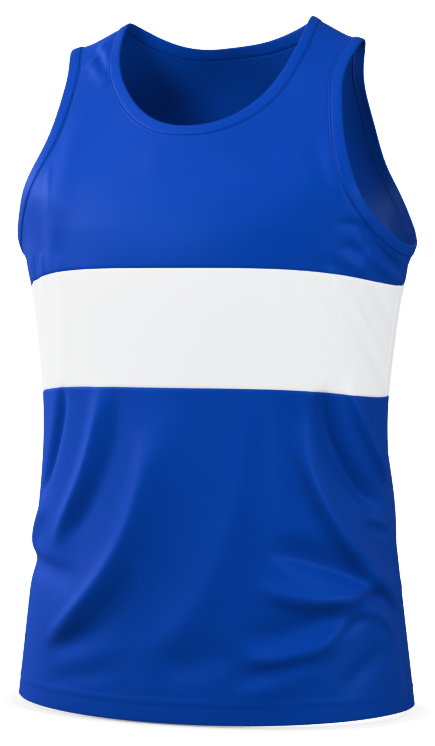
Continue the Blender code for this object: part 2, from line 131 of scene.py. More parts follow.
# Folds of the worn cloth. Each runs from one place to another; "girth" is the distance round the
# garment from the front's centre line, positive to the wearer's left. A bow pushes the middle of a
# fold sideways. The near width is on the side that the bow's minus points to, the far width on the
# other, and a negative height is a hollow.
FOLD_COLUMNS = ("from_girth", "from_level", "to_girth", "to_level", "bow",
                "near_width", "far_width", "height")
FOLDS = (
    # front, wearer's right: two long ridges that sweep from the waist out to the side
    (-0.123, -0.342, -0.182, -0.468, 0.008, 0.008, 0.008, -0.0075),
    (-0.066, -0.335, -0.137, -0.514, 0.018, 0.011, 0.011, 0.0098),
    (-0.150, -0.466, -0.232, -0.524, 0.000, 0.014, 0.012, 0.0040),
    (-0.050, -0.345, -0.106, -0.510, 0.006, 0.010, 0.014, -0.0030),
    (-0.005, -0.350, -0.139, -0.612, 0.036, 0.026, 0.024, 0.0072),
    (-0.020, -0.385, -0.137, -0.614, 0.038, 0.010, 0.012, 0.0084),
    (-0.030, -0.520, -0.130, -0.616, 0.018, 0.006, 0.013, -0.0030),
    (-0.262, -0.530, -0.078, -0.540, 0.005, 0.016, 0.008, -0.0045),
    (-0.123, -0.628, -0.022, -0.595, -0.004, 0.009, 0.010, 0.0010),
    (-0.126, -0.643, -0.034, -0.623, -0.003, 0.007, 0.008, -0.0012),
    # front, middle: broad soft folds that hang from the chest
    (0.086, -0.340, 0.060, -0.512, 0.002, 0.018, 0.016, 0.0040),
    (0.058, -0.470, -0.020, -0.622, 0.013, 0.015, 0.017, 0.0034),
    (0.106, -0.350, 0.106, -0.490, 0.001, 0.012, 0.016, -0.0024),
    (-0.012, -0.430, -0.006, -0.584, 0.009, 0.016, 0.016, -0.0008),
    (-0.004, -0.624, 0.060, -0.597, -0.003, 0.015, 0.018, -0.0026),
    # front, wearer's left: from the waist out to the side, with pulled-in swells below
    (0.148, -0.344, 0.248, -0.476, -0.018, 0.018, 0.011, -0.0145),
    (0.178, -0.338, 0.268, -0.450, -0.010, 0.006, 0.009, 0.0095),
    (0.120, -0.378, 0.268, -0.568, -0.033, 0.009, 0.018, 0.0102),
    (0.185, -0.457, 0.257, -0.486, -0.005, 0.005, 0.005, 0.0025),
    (0.198, -0.485, 0.262, -0.497, 0.000, 0.004, 0.005, -0.0030),
    (0.086, -0.505, 0.212, -0.541, 0.001, 0.009, 0.018, -0.0090),
    (0.072, -0.540, 0.212, -0.547, -0.010, 0.011, 0.011, 0.0078),
    (0.060, -0.595, 0.176, -0.566, 0.000, 0.012, 0.013, -0.0052),
    (0.060, -0.611, 0.176, -0.566, -0.014, 0.010, 0.010, 0.0062),
    (0.138, -0.601, 0.202, -0.568, 0.004, 0.006, 0.006, -0.0024),
    (0.050, -0.632, 0.132, -0.608, 0.002, 0.009, 0.008, -0.0024),
    (0.052, -0.648, 0.142, -0.613, -0.003, 0.010, 0.008, 0.0018),
    (0.172, -0.562, 0.262, -0.590, 0.022, 0.005, 0.006, -0.0036),
    (0.173, -0.570, 0.241, -0.606, 0.018, 0.006, 0.006, 0.0030),
    (0.150, -0.644, 0.226, -0.603, 0.005, 0.010, 0.010, -0.0025),
    # front, band and underarms
    (0.112, -0.216, 0.204, -0.366, -0.005, 0.009, 0.008, -0.0036),
    (0.132, -0.218, 0.266, -0.360, -0.011, 0.006, 0.006, 0.0032),
    (0.140, -0.222, 0.266, -0.342, -0.006, 0.007, 0.007, -0.0040),
    (0.164, -0.226, 0.266, -0.308, 0.004, 0.007, 0.007, 0.0030),
    (0.090, -0.222, 0.127, -0.360, 0.001, 0.009, 0.010, -0.0020),
    (0.160, -0.187, 0.270, -0.240, -0.011, 0.006, 0.005, -0.0040),
    (0.152, -0.203, 0.270, -0.246, -0.009, 0.007, 0.006, 0.0026),
    (-0.108, -0.215, -0.128, -0.372, 0.000, 0.012, 0.012, 0.0018),
    (-0.072, -0.225, -0.084, -0.372, 0.000, 0.012, 0.012, 0.0015),
    (-0.096, -0.130, -0.134, -0.256, 0.004, 0.011, 0.011, 0.0020),
    (-0.082, -0.040, -0.092, -0.196, 0.000, 0.012, 0.012, 0.0015),
    (-0.150, -0.196, -0.268, -0.250, 0.000, 0.010, 0.012, -0.0020),
    # back, from the waist down and out
    (0.508, -0.345, 0.414, -0.620, -0.018, 0.009, 0.022, 0.0062),
    (0.472, -0.380, 0.384, -0.612, -0.013, 0.014, 0.012, -0.0045),
    (0.400, -0.335, 0.318, -0.520, -0.014, 0.013, 0.009, 0.0050),
    (0.462, -0.512, 0.306, -0.556, 0.004, 0.011, 0.008, 0.0045),
    (0.452, -0.548, 0.300, -0.590, 0.005, 0.007, 0.012, -0.0045),
    (0.420, -0.640, 0.318, -0.602, 0.004, 0.012, 0.010, -0.0030),
    (-0.486, -0.345, -0.368, -0.592, 0.020, 0.020, 0.009, 0.0062),
    (-0.452, -0.380, -0.350, -0.560, 0.014, 0.010, 0.013, -0.0040),
    (-0.392, -0.335, -0.284, -0.474, 0.008, 0.012, 0.009, 0.0045),
    (-0.476, -0.596, -0.318, -0.552, 0.004, 0.012, 0.008, 0.0048),
    (-0.480, -0.620, -0.330, -0.588, 0.003, 0.008, 0.010, -0.0040),
    # back, band and underarms
    (0.420, -0.214, 0.360, -0.368, 0.004, 0.013, 0.013, 0.0022),
    (-0.448, -0.220, -0.384, -0.370, 0.004, 0.013, 0.013, 0.0022),
    (0.396, -0.176, 0.272, -0.242, 0.000, 0.009, 0.012, -0.0035),
    (-0.388, -0.180, -0.270, -0.246, 0.000, 0.012, 0.009, -0.0035),
    (0.470, -0.404, -0.474, -0.398, 0.006, 0.014, 0.014, 0.0025),
)

# Finer creases, in the same columns
CREASES = (
    # wearer's right strap, beside the neck
    (-0.080, 0.140, -0.062, -0.002, -0.002, 0.004, 0.004, 0.0015),
    (-0.084, 0.100, -0.063, -0.010, -0.001, 0.004, 0.004, -0.0022),
    (-0.084, 0.062, -0.062, -0.024, -0.001, 0.005, 0.006, 0.0021),
    (-0.088, 0.030, -0.076, 0.110, -0.002, 0.004, 0.004, 0.0012),
    (-0.090, 0.002, -0.060, -0.032, 0.010, 0.005, 0.005, -0.0008),
    # chest
    (-0.105, -0.120, -0.112, -0.185, 0.002, 0.004, 0.004, 0.0010),
    (-0.017, -0.115, -0.016, -0.160, -0.001, 0.007, 0.009, 0.0008),
    (0.085, -0.090, 0.137, -0.176, -0.005, 0.009, 0.007, -0.0015),
    # wearer's left, under the arm
    (0.134, -0.192, 0.184, -0.202, 0.003, 0.005, 0.005, -0.0015),
    (0.142, -0.214, 0.184, -0.223, 0.002, 0.007, 0.007, -0.0018),
    (0.150, -0.228, 0.188, -0.240, 0.002, 0.006, 0.006, 0.0012),
    (0.120, -0.228, 0.168, -0.238, 0.000, 0.008, 0.008, -0.0015),
    # puckers at the wearer's right side, under the arm
    (-0.171, -0.222, -0.175, -0.262, 0.000, 0.003, 0.003, 0.0013),
    (-0.157, -0.222, -0.163, -0.258, 0.000, 0.004, 0.004, -0.0012),
    (-0.138, -0.216, -0.146, -0.262, -0.001, 0.003, 0.005, 0.0015),
    (-0.108, -0.220, -0.114, -0.256, -0.001, 0.005, 0.005, 0.0008),
)

# ------------------------ steps of the meshes
HALF_COLUMNS = 16             # of the coarse grid of half a panel above the band
CENTRE_STEPS = 8              # its rows up the centre line
NECK_STEPS = 16               # its rows along the neck
SIDE_STEPS = 2                # its rows up the side seam
ARMHOLE_STEPS = CENTRE_STEPS + NECK_STEPS - SIDE_STEPS
TURN_LENGTH = 0.045           # length that a turn of one radian counts for where stations are set
EDGE_SAMPLES = 400            # points of a curve that is measured
SEAM_SAMPLES = 1600           # points of a seam that distances are measured to
SPREAD_PASSES = 400
HALVINGS = 40
NUDGE = 0.0001                # step in across and level for the slope of the surface
JOIN_DISTANCE = 0.00005
SHARP_ANGLE = math.radians(60)
FINE_STEP = 0.0028            # spacing of the fine cloth's points
HALF_STEPS = 96               # points across half a panel above the band
EDGE_STEPS = (0.0005, 0.0011, 0.0018, 0.0027, 0.0038)      # closer rows beside a seam


def spline(knots, values, at, flat_start=False, flat_end=False):
    """Smooth curve through the rows of a table; an end is flat or free."""
    step = np.diff(knots)
    values = np.asarray(values, float)
    tail = (1,) * (values.ndim - 1)
    rise = np.diff(values, axis=0) / step.reshape(-1, *tail)
    count = len(knots)
    system = np.eye(count)
    wanted = np.zeros(values.shape)
    for row in range(1, count - 1):
        before, after = 1 / step[row - 1], 1 / step[row]
        system[row, row - 1:row + 2] = before, 2 * (before + after), after
        wanted[row] = 3 * (rise[row - 1] * before + rise[row] * after)
    if not flat_start:
        system[0, :2] = 2, 1
        wanted[0] = 3 * rise[0]
    if not flat_end:
        system[-1, -2:] = 1, 2
        wanted[-1] = 3 * rise[-1]
    slope = np.linalg.solve(system, wanted)
    at = np.clip(at, knots[0], knots[-1])
    row = np.clip(np.searchsorted(knots, at, side="right") - 1, 0, count - 2)
    t = ((at - knots[row]) / step[row]).reshape(*np.shape(at), *tail)
    size = step[row].reshape(t.shape)
    return ((1 + 2 * t) * (1 - t) ** 2 * values[row]
            + t * (1 - t) ** 2 * size * slope[row]
            + t * t * (3 - 2 * t) * values[row + 1]
            + t * t * (t - 1) * size * slope[row + 1])


def bell(distance, width):
    """1 at no distance, and soft towards 0 beyond a width."""
    return np.exp(-(distance / width) ** 2)


def travelled_along(points):
    """Distance travelled at each of a row of points."""
    return np.concatenate([[0], np.cumsum(np.linalg.norm(np.diff(points, axis=0), axis=1))])


def body(name, level):
    """One column of the cross-section table, at a level."""
    columns = dict(zip(BODY_COLUMNS, np.array(BODY).T))
    return spline(columns["level"], columns[name], level)


def climb(level):
    """Share of the height from the underarm to the ridge; it flattens over the shoulder."""
    share = np.clip((level - UNDERARM) / (RIDGE_LEVEL - UNDERARM), 0, 1)
    return 1 - (1 - share) ** 2


def level_of_climb(share):
    return UNDERARM + (RIDGE_LEVEL - UNDERARM) * (1 - np.sqrt(np.clip(1 - share, 0, 1)))


def breadth(across, level):
    """Sideways distance from the centre plane."""
    angle = across * math.pi / 2
    square = body("squareness", level)
    share = (np.sin(angle) + square * np.sin(3 * angle)) / (1 - square)
    return body("half_width", level) * share


def ridge_height(x):
    run = np.hypot(x, RIDGE_ROUNDING) - math.hypot(NECK_HALF_WIDTH, RIDGE_ROUNDING)
    step = RIDGE_STEP * (1 + np.tanh((np.abs(x) - RIDGE_STEP_AT) / RIDGE_STEP_ROUNDING)) / 2
    return NECK_POINT_HEIGHT - RIDGE_FALL * run + step


def ridge_setback(x):
    past = np.abs(x) - RIDGE_TURN
    return RIDGE_BACK - RIDGE_FORWARD * (past + np.hypot(past, RIDGE_TURN_ROUNDING)) / 2


def base(panel, across, level):
    """Point of the cloth surface, before any fold."""
    facing = -1 if panel == "front" else 1
    angle = across * math.pi / 2
    square = body("squareness", level)
    bulge = (np.cos(angle) - square * np.cos(3 * angle)) / (1 - square)
    risen = climb(level)
    x = breadth(across, level) + body("to_left", level)
    y = facing * body(panel + "_depth", level) * bulge + risen * ridge_setback(x)
    z = np.where(level < UNDERARM, level, UNDERARM + risen * (ridge_height(x) - UNDERARM))
    return np.stack([x, y, z], -1)


def rates(panel, across, level):
    """How the surface point moves with across and with level."""
    right, left = (base(panel, across + step, level) for step in (-NUDGE, NUDGE))
    rise = base(panel, across, level) - base(panel, across, level - NUDGE)
    return (left - right) / (2 * NUDGE), rise / NUDGE


def outward(panel, across, level):
    """Unit vector out of the garment."""
    sideways, upwards = rates(panel, across, level)
    normal = np.cross(sideways, upwards)
    if panel == "back":
        normal = -normal
    return normal / np.linalg.norm(normal, axis=-1, keepdims=True)


def wrapped(girth):
    """The same place, less than half a turn away."""
    return (girth + 2 * QUARTER_GIRTH) % (4 * QUARTER_GIRTH) - 2 * QUARTER_GIRTH


def girth_of(panel, across):
    """Distance round the garment from the front's centre line."""
    girth = across * QUARTER_GIRTH
    if panel == "back":
        girth = np.where(across < 0, -2, 2) * QUARTER_GIRTH - girth
    return girth


def relief(panel, across, level):
    """Height of all the folds and creases at a place."""
    girth = girth_of(panel, across)
    total = np.zeros(np.shape(level))
    for row in FOLDS + CREASES:
        fold = dict(zip(FOLD_COLUMNS, row))
        around = wrapped(fold["to_girth"] - fold["from_girth"])
        down = fold["to_level"] - fold["from_level"]
        length = math.hypot(around, down)
        past = wrapped(girth - fold["from_girth"])
        below = level - fold["from_level"]
        share = (past * around + below * down) / length ** 2
        aside = (below * around - past * down) / length
        middle = np.clip(1 - (2 * share - 1) ** 2, 0, 1)
        aside = aside - fold["bow"] * middle
        width = np.where(aside < 0, fold["near_width"], fold["far_width"])
        ends = (1 - np.clip(np.abs(2 * share - 1), 0, 1) ** 4) ** 2
        total = total + fold["height"] * ends * bell(aside, width)
    return total


def layer(panel, across, level, lift):
    """Points at a lift above the folded cloth, negative towards the inside."""
    across, level = np.broadcast_arrays(np.asarray(across, float), np.asarray(level, float))
    height = relief(panel, across, level) + lift
    return base(panel, across, level) + outward(panel, across, level) * height[..., None]


def across_at(x, level):
    """The across whose breadth is x."""
    low = np.zeros_like(x)
    high = np.ones_like(x)
    for _ in range(HALVINGS):
        middle = (low + high) / 2
        short = breadth(middle, level) < np.abs(x)
        low = np.where(short, middle, low)
        high = np.where(short, high, middle)
    return np.sign(x) * (low + high) / 2


def neck_opening(panel, side):
    """Fine points of the neck opening's edge, from the centre line to the ridge."""
    turn = np.linspace(0, math.pi / 2, EDGE_SAMPLES)
    lean = 1 - NECK_SKEW[panel] * side * np.sin(turn)
    drop = (1 - NECK_CLIMB[panel]) * np.cos(turn) ** NECK_POINTING[panel] * lean
    level = level_of_climb(1 - drop)
    return across_at(side * NECK_HALF_WIDTH * np.sin(turn), level), level


def armhole_opening(panel, side):
    """Fine points of the armhole opening's edge, from the side seam to the ridge."""
    columns = dict(zip(ARMHOLE_COLUMNS, np.array(ARMHOLE[panel]).T))
    rows = np.arange(len(ARMHOLE[panel]), dtype=float)
    at = np.linspace(0, rows[-1], EDGE_SAMPLES)
    return (side * spline(rows, columns["across"], at, flat_end=True),
            spline(rows, columns["level"], at, flat_start=True))


def set_in(panel, across, level, width, towards):
    """An edge moved over the cloth by a width, to its left (+1) or its right (-1) as it runs."""
    sideways, upwards = rates(panel, across, level)
    across_length = np.linalg.norm(sideways, axis=-1)
    level_length = np.linalg.norm(upwards, axis=-1)
    run = np.gradient(across) * across_length
    rise = np.gradient(level) * level_length
    length = np.hypot(run, rise)
    return (across - towards * width * rise / length / across_length,
            level + towards * width * run / length / level_length)


def bound_edge(panel, side, opening, steps, towards):
    """Seam line and opening edge of a binding, as paired stations, closer where it bends."""
    across, level = opening(panel, side)
    seam_across, seam_level = set_in(panel, across, level, BINDING_WIDTH, towards)
    seam_level = np.minimum(seam_level, RIDGE_LEVEL)
    moved = travelled_along(base(panel, seam_across, seam_level))
    turned = travelled_along(outward(panel, seam_across, seam_level))
    effort = moved + TURN_LENGTH * turned
    stations = np.linspace(0, effort[-1], steps + 1)
    return [np.interp(stations, effort, values)
            for values in (seam_across, seam_level, across, level)]


def neck_edge(panel, side, steps=NECK_STEPS):
    edge = bound_edge(panel, side, neck_opening, steps, -side)
    edge[0][0] = 0.0
    return edge


def armhole_edge(panel, side, steps=ARMHOLE_STEPS):
    return bound_edge(panel, side, armhole_opening, steps, side)


def sag(dip, across):
    """Drop of a band edge, level at the centre and again at the side seam."""
    depth = np.where(across > 0, dip[1], dip[-1])
    return depth * np.sin(across * math.pi / 2) ** BAND_DIP_SHARPNESS


def band_top(across):
    return BAND_TOP - sag(BAND_TOP_DIP, across)


def band_bottom(across):
    return BAND_BOTTOM - sag(BAND_BOTTOM_DIP, across)


def hem_line(across):
    return HEM_LEVEL + HEM_SIDE_RISE * np.sin(across * math.pi / 2) ** 2


# ------------------------ grids of the fine cloth
def seam_spaced(length, steps):
    """Distances along a stretch of cloth from one seam to the next, closer beside both."""
    start = np.array((0.0,) + EDGE_STEPS)
    middle = np.linspace(start[-1], length - start[-1], steps - 2 * len(EDGE_STEPS) + 1)
    return np.concatenate([start, middle[1:-1], (length - start)[::-1]])


def spread(across, level):
    """Move the inner points of a grid so that no row or column of it crosses a hollow edge."""
    grid = np.stack([across * QUARTER_GIRTH, level])
    for _ in range(SPREAD_PASSES):
        before, after = grid[:, 1:-1, :-2], grid[:, 1:-1, 2:]
        below, above = grid[:, :-2, 1:-1], grid[:, 2:, 1:-1]
        twist = (grid[:, 2:, 2:] - grid[:, :-2, 2:] - grid[:, 2:, :-2] + grid[:, :-2, :-2]) / 2
        along = after - before
        up = above - below
        weight_along = (up ** 2).sum(0)
        weight_up = (along ** 2).sum(0)
        shear = (along * up).sum(0)
        middle = weight_along * (before + after) + weight_up * (below + above) - shear * twist
        grid[:, 1:-1, 1:-1] = middle / (2 * (weight_along + weight_up))
    return grid[0] / QUARTER_GIRTH, grid[1]


def half_upper_grid(panel, side):
    """Across and level of a half panel: rows from the centre line and neck to the armhole side."""
    neck_across, neck_level = neck_edge(panel, side)[:2]
    arm_across, arm_level = armhole_edge(panel, side)[:2]
    foot = band_top(np.array([0.0, side]))
    side_level = np.linspace(foot[1], arm_level[0], SIDE_STEPS + 1)
    centre_level = np.concatenate([
        np.linspace(foot[0], arm_level[0], SIDE_STEPS + 1)[:-1],
        np.linspace(arm_level[0], neck_level[0], CENTRE_STEPS - SIDE_STEPS + 1)])
    inner = np.array([np.concatenate([np.zeros(CENTRE_STEPS), neck_across]),
                      np.concatenate([centre_level[:-1], neck_level])])
    outer = np.array([np.concatenate([np.full(SIDE_STEPS, float(side)), arm_across]),
                      np.concatenate([side_level[:-1], arm_level])])
    inner[1, -1] = outer[1, -1] = RIDGE_LEVEL
    share = np.linspace(0, 1, HALF_COLUMNS + 1)
    across, level = (a[:, None] * (1 - share) + b[:, None] * share for a, b in zip(inner, outer))
    rise = np.linspace(1, 0, len(level))[:, None] ** 2
    straight = foot[0] * (1 - share) + foot[1] * share
    level = level + rise * (band_top(across[0]) - straight)
    return spread(across, level)


def fine_rows(panel, across, level, first, last):
    """Closer rows between two rows of a half panel, with the rows beside both ends closest."""
    travelled = travelled_along(base(panel, across, level)[first:last + 1, HALF_COLUMNS // 2])
    steps = 2 * len(EDGE_STEPS) + max(2, round(travelled[-1] / FINE_STEP))
    row = np.arange(first, last + 1, dtype=float)
    at = np.interp(seam_spaced(travelled[-1], steps), travelled, row)
    return [spline(row, values[first:last + 1], at) for values in (across, level)]


def fine_half_panel(panel, side):
    """Half panel at full fineness. Its corners, under the arm and at the neck, keep their rows."""
    across, level = half_upper_grid(panel, side)
    stops = (0, SIDE_STEPS, CENTRE_STEPS, CENTRE_STEPS + NECK_STEPS)
    stretches = [fine_rows(panel, across, level, *ends) for ends in zip(stops[:-1], stops[1:])]
    rows = [np.concatenate([stretch[kind][:-1] for stretch in stretches]
                           + [stretches[-1][kind][-1:]]) for kind in (0, 1)]
    fine = []
    for row_across, row_level in zip(*rows):
        travelled = travelled_along(base(panel, row_across, row_level))
        at = seam_spaced(travelled[-1], HALF_STEPS)
        fine.append([spline(travelled, row_across, at), spline(travelled, row_level, at)])
    return np.array(fine).transpose(1, 0, 2)


def strip_grid(top, bottom):
    """Rows between two level lines that run from side seam to side seam."""
    girth = seam_spaced(2 * QUARTER_GIRTH, round(2 * QUARTER_GIRTH / FINE_STEP)) - QUARTER_GIRTH
    across = girth / QUARTER_GIRTH
    tall = float(np.mean(top(across) - bottom(across)))
    share = (seam_spaced(tall, round(tall / FINE_STEP)) / tall)[:, None]
    level = top(across) * (1 - share) + bottom(across) * share
    return np.broadcast_to(across, level.shape), level


# ------------------------ relief beside seams
DITCH = 0.0007                # depth of the cloth where two pieces meet
DITCH_WIDTH = 0.0014
SIDE_DITCH = 0.0020           # the side seams are drawn in more
COVER_LINE = 0.0030           # distance of the outer needle line from a binding
COVER_LINE_DEPTH = 0.00045
COVER_LINE_WIDTH = 0.0007
COVER_RIDGE = 0.00035         # the cloth swells between the needle lines


def ditch(distance, depth=DITCH):
    """The cloth turns in beside a plain seam."""
    return -depth * bell(distance, DITCH_WIDTH)


def cover_seam(distance):
    """Cloth beside a binding: a ditch, a low ridge and the outer needle line."""
    ridge = COVER_RIDGE * bell(distance - COVER_LINE / 2, COVER_LINE / 3)
    line = COVER_LINE_DEPTH * bell(distance - COVER_LINE, COVER_LINE_WIDTH)
    return ditch(distance) + ridge - line


def side_distance(across):
    return (1 - np.abs(across)) * QUARTER_GIRTH


def side_ditch(across, level):
    """The side seam, which ends at the underarm."""
    return np.where(level < UNDERARM, ditch(side_distance(across), SIDE_DITCH), 0)


def distance_to(seams, points):
    """Distance of each point from the nearest point of some seams."""
    marks = np.concatenate(seams)
    tree = KDTree(len(marks))
    for number, mark in enumerate(marks):
        tree.insert(mark, number)
    tree.balance()
    flat = [tree.find(point)[2] for point in points.reshape(-1, 3)]
    return np.array(flat).reshape(points.shape[:-1])


def seam_points(panel, edge):
    """Close points along a binding's seam line, on both sides of the garment."""
    lines = [edge(panel, side, SEAM_SAMPLES)[:2] for side in (1, -1)]
    return [base(panel, across, level) for across, level in lines]


# ------------------------ building the cloth
def laid_grid(mesh, points):
    """A grid with its vertices at the points: each vertex, with its row and column."""
    rows, columns = points.shape[:2]
    made = bmesh.ops.create_grid(mesh, x_segments=columns - 1, y_segments=rows - 1, size=0.5)
    laid = []
    for vert in made["verts"]:
        row = round((vert.co.y + 0.5) * (rows - 1))
        column = round((vert.co.x + 0.5) * (columns - 1))
        vert.co = points[row, column]
        laid.append((vert, row, column))
    return laid


def add_layer_grid(mesh, outer, inner, places):
    """A grid of outer points that know their inner point and their place on the cloth."""
    inward = mesh.verts.layers.float_vector["inward"]
    place = mesh.verts.layers.float_vector["place"]
    laid = laid_grid(mesh, outer)
    for vert, row, column in laid:
        vert[inward] = inner[row, column] - outer[row, column]
        vert[place] = (*places[row, column], 0.0)
    sample = laid[len(laid) // 2][0].link_faces[0]
    sample.normal_update()
    if sample.normal.dot(-sample.verts[0][inward]) < 0:
        faces = {face for vert, _, _ in laid for face in vert.link_faces}
        bmesh.ops.reverse_faces(mesh, faces=list(faces))


def finish_piece(mesh, name, material):
    """Turn a closed bmesh into a finished piece that rides on the frame."""
    bmesh.ops.recalc_face_normals(mesh, faces=mesh.faces)
    if mesh.calc_volume(signed=True) < 0:
        bmesh.ops.reverse_faces(mesh, faces=mesh.faces)
    data = bpy.data.meshes.new(name)
    mesh.to_mesh(data)
    mesh.free()
    data.shade_smooth()
    data.set_sharp_from_angle(angle=SHARP_ANGLE)
    data.materials.append(material)
    piece = bpy.data.objects.new(name, data)
    bpy.context.scene.collection.objects.link(piece)
    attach(piece, "root")
    return piece


def cloth_piece(name, panel, grids, material):
    """A closed wall from grids of (across, level, lift, thickness)."""
    mesh = bmesh.new()
    mesh.verts.layers.float_vector.new("inward")
    mesh.verts.layers.float_vector.new("place")
    for across, level, lift, thickness in grids:
        places = np.stack([girth_of(panel, across), level], -1)
        add_layer_grid(mesh, layer(panel, across, level, lift),
                       layer(panel, across, level, lift - thickness), places)
    bmesh.ops.remove_doubles(mesh, verts=mesh.verts, dist=JOIN_DISTANCE)
    inward = mesh.verts.layers.float_vector["inward"]
    sheet = mesh.faces[:] + mesh.edges[:] + mesh.verts[:]
    extruded = bmesh.ops.extrude_face_region(mesh, geom=sheet, use_keep_orig=True)["geom"]
    for vert in (item for item in extruded if isinstance(item, bmesh.types.BMVert)):
        vert.co += vert[inward]
    return finish_piece(mesh, name, material)


def upper_cloth(panel, material):
    """From the band to the ridge of the shoulders, in two halves that join on the centre line."""
    grids = []
    for side in (1, -1):
        across, level = fine_half_panel(panel, side)
        place = base(panel, across, level)
        ridge = np.linalg.norm(place - place[-1:], axis=-1)
        lift = (ditch(level - band_top(across)) + ditch(ridge) + side_ditch(across, level)
                + cover_seam(distance_to(seam_points(panel, neck_edge), place))
                + cover_seam(distance_to(seam_points(panel, armhole_edge), place)))
        grids.append((across, level, lift, WALL))
    return cloth_piece(panel + "_upper_cloth", panel, grids, material)


def band_cloth(panel, material):
    across, level = strip_grid(band_top, band_bottom)
    lift = (ditch(band_top(across) - level) + ditch(level - band_bottom(across))
            + ditch(side_distance(across), SIDE_DITCH))
    grid = (across, level, lift, WALL)
    return cloth_piece(panel + "_band_cloth", panel, [grid], material)


HEM_ROLL = HEM_THICKNESS / 2  # the hem's folded edge is half round
HEM_ROLL_STEPS = 5
HEM_ROLL_TIP = 0.0002         # what is left of the thickness at the lowest line
HEM_LINE_DEPTH = 0.0006       # the stitching draws the cloth in
HEM_LINE_WIDTH = 0.0007
HEM_STEP_WIDTH = 0.0006       # the second layer ends softly behind the stitching
HEM_SWELL = 0.0007            # soft ridge above the stitching
HEM_SWELL_AT = 0.0024
HEM_SWELL_WIDTH = 0.0012


def lower_cloth(panel, material):
    """From the band to the hem, with the hem's double layer, its stitched line and folded edge."""
    across, level = strip_grid(band_bottom, lambda at: hem_line(at) + HEM_ROLL)
    across, level = across[:-len(EDGE_STEPS)], level[:-len(EDGE_STEPS)]
    turn = np.linspace(0, math.pi / 2, HEM_ROLL_STEPS + 1)[:, None]
    roll_across = np.broadcast_to(across[0], (len(turn), across.shape[1]))
    roll_level = hem_line(roll_across) + HEM_ROLL * (1 - np.sin(turn))
    above_line = level - hem_line(across) - HEM_DEPTH
    doubled = 1 / (1 + np.exp(above_line / HEM_STEP_WIDTH))
    lift = (ditch(band_bottom(across) - level) + ditch(side_distance(across), SIDE_DITCH)
            - HEM_LINE_DEPTH * bell(above_line, HEM_LINE_WIDTH)
            + HEM_SWELL * bell(above_line - HEM_SWELL_AT, HEM_SWELL_WIDTH))
    thickness = WALL + (HEM_THICKNESS - WALL) * doubled
    roll_lift = -HEM_ROLL * (1 - np.cos(turn)) + ditch(side_distance(roll_across), SIDE_DITCH)
    roll_thickness = np.maximum(HEM_THICKNESS * np.cos(turn), HEM_ROLL_TIP) + 0 * roll_across
    grid = [np.concatenate(pair) for pair in ((across, roll_across), (level, roll_level),
                                              (lift, roll_lift), (thickness, roll_thickness))]
    return cloth_piece(panel + "_lower_cloth", panel, [grid], material)


# ------------------------ bindings
BINDING_STEPS = 150           # stations from a centre line or a side seam up to the ridge
SECTION_STEPS = 22
SECTION_ROUNDNESS = {"width": 0.45, "thickness": 0.55}      # 1 is an oval, 0 a rectangle
SEAM_OVERLAP = 0.06           # share of its width that a binding laps over the panel


def squared(wave, roundness):
    """A wave moved to run from 0 to 1, with flatter crests for a lower roundness."""
    return 0.5 + 0.5 * np.sign(wave) * np.abs(wave) ** roundness


def binding_section():
    """Places round a folded strip: share of its width from the seam, and share of its thickness."""
    turn = np.linspace(0, 2 * math.pi, SECTION_STEPS + 1)
    return (squared(-np.cos(turn), SECTION_ROUNDNESS["width"]),
            squared(np.sin(turn), SECTION_ROUNDNESS["thickness"]))


def binding_stretch(panel, edge):
    """Sections of a binding at the stations of one edge."""
    seam_across, seam_level, across, level = (values[:, None] for values in edge)
    share, through = binding_section()
    share = share - SEAM_OVERLAP * (1 - share)
    lift = BINDING_PROUD - BINDING_THICKNESS * (1 - through)
    return layer(panel, seam_across * (1 - share) + across * share,
                 seam_level * (1 - share) + level * share, lift)


def binding_piece(name, stretches):
    """A closed ring of sections, as a grid whose ends and sides are merged."""
    points = np.concatenate([stretch[:-1] for stretch in stretches] + [stretches[0][:1]])
    points[:, -1] = points[:, 0]
    along = travelled_along(points[:, 0])
    mesh = bmesh.new()
    place = mesh.verts.layers.float_vector.new("place")
    for vert, row, column in laid_grid(mesh, points):
        vert[place] = (along[row], column * BINDING_WIDTH * 2 / SECTION_STEPS, 0.0)
    bmesh.ops.remove_doubles(mesh, verts=mesh.verts, dist=JOIN_DISTANCE / 5)
    return finish_piece(mesh, name, BINDING_BLUE)


def neck_binding():
    stretches = [binding_stretch("front", neck_edge("front", 1, BINDING_STEPS)),
                 binding_stretch("back", neck_edge("back", 1, BINDING_STEPS))[::-1],
                 binding_stretch("back", neck_edge("back", -1, BINDING_STEPS)),
                 binding_stretch("front", neck_edge("front", -1, BINDING_STEPS))[::-1]]
    return binding_piece("neck_binding_cloth", stretches)


def armhole_binding(name, side):
    stretches = [binding_stretch("front", armhole_edge("front", side, BINDING_STEPS)),
                 binding_stretch("back", armhole_edge("back", side, BINDING_STEPS))[::-1]]
    return binding_piece(name + "_cloth", stretches)


# ------------------------ stitching
STITCH_LENGTH = 0.0023
STITCH_WIDTH = 0.00055
STITCH_HEIGHT = 0.00045
STITCH_SPACING = 0.0029       # from the start of one stitch to the start of the next
NEEDLE_LINES = (("inner", 0.0004), ("outer", COVER_LINE))      # distances from a binding
THREAD_SIDES = 6
THREAD_RINGS = 4


def needle_line(panel, side, opening, distance, towards):
    """Places and outward directions of a needle line that runs outside a binding."""
    across, level = opening(panel, side)
    across, level = set_in(panel, across, level, BINDING_WIDTH + distance, towards)
    level = np.minimum(level, RIDGE_LEVEL)
    return np.concatenate([layer(panel, across, level, cover_seam(distance)),
                           outward(panel, across, level)], axis=-1)


def hem_needle_line(panel):
    """Places and outward directions of the hem's stitching on one panel, from right to left."""
    across = np.linspace(-1, 1, EDGE_SAMPLES)
    level = hem_line(across) + HEM_DEPTH
    return np.concatenate([layer(panel, across, level, -HEM_LINE_DEPTH),
                           outward(panel, across, level)], axis=-1)


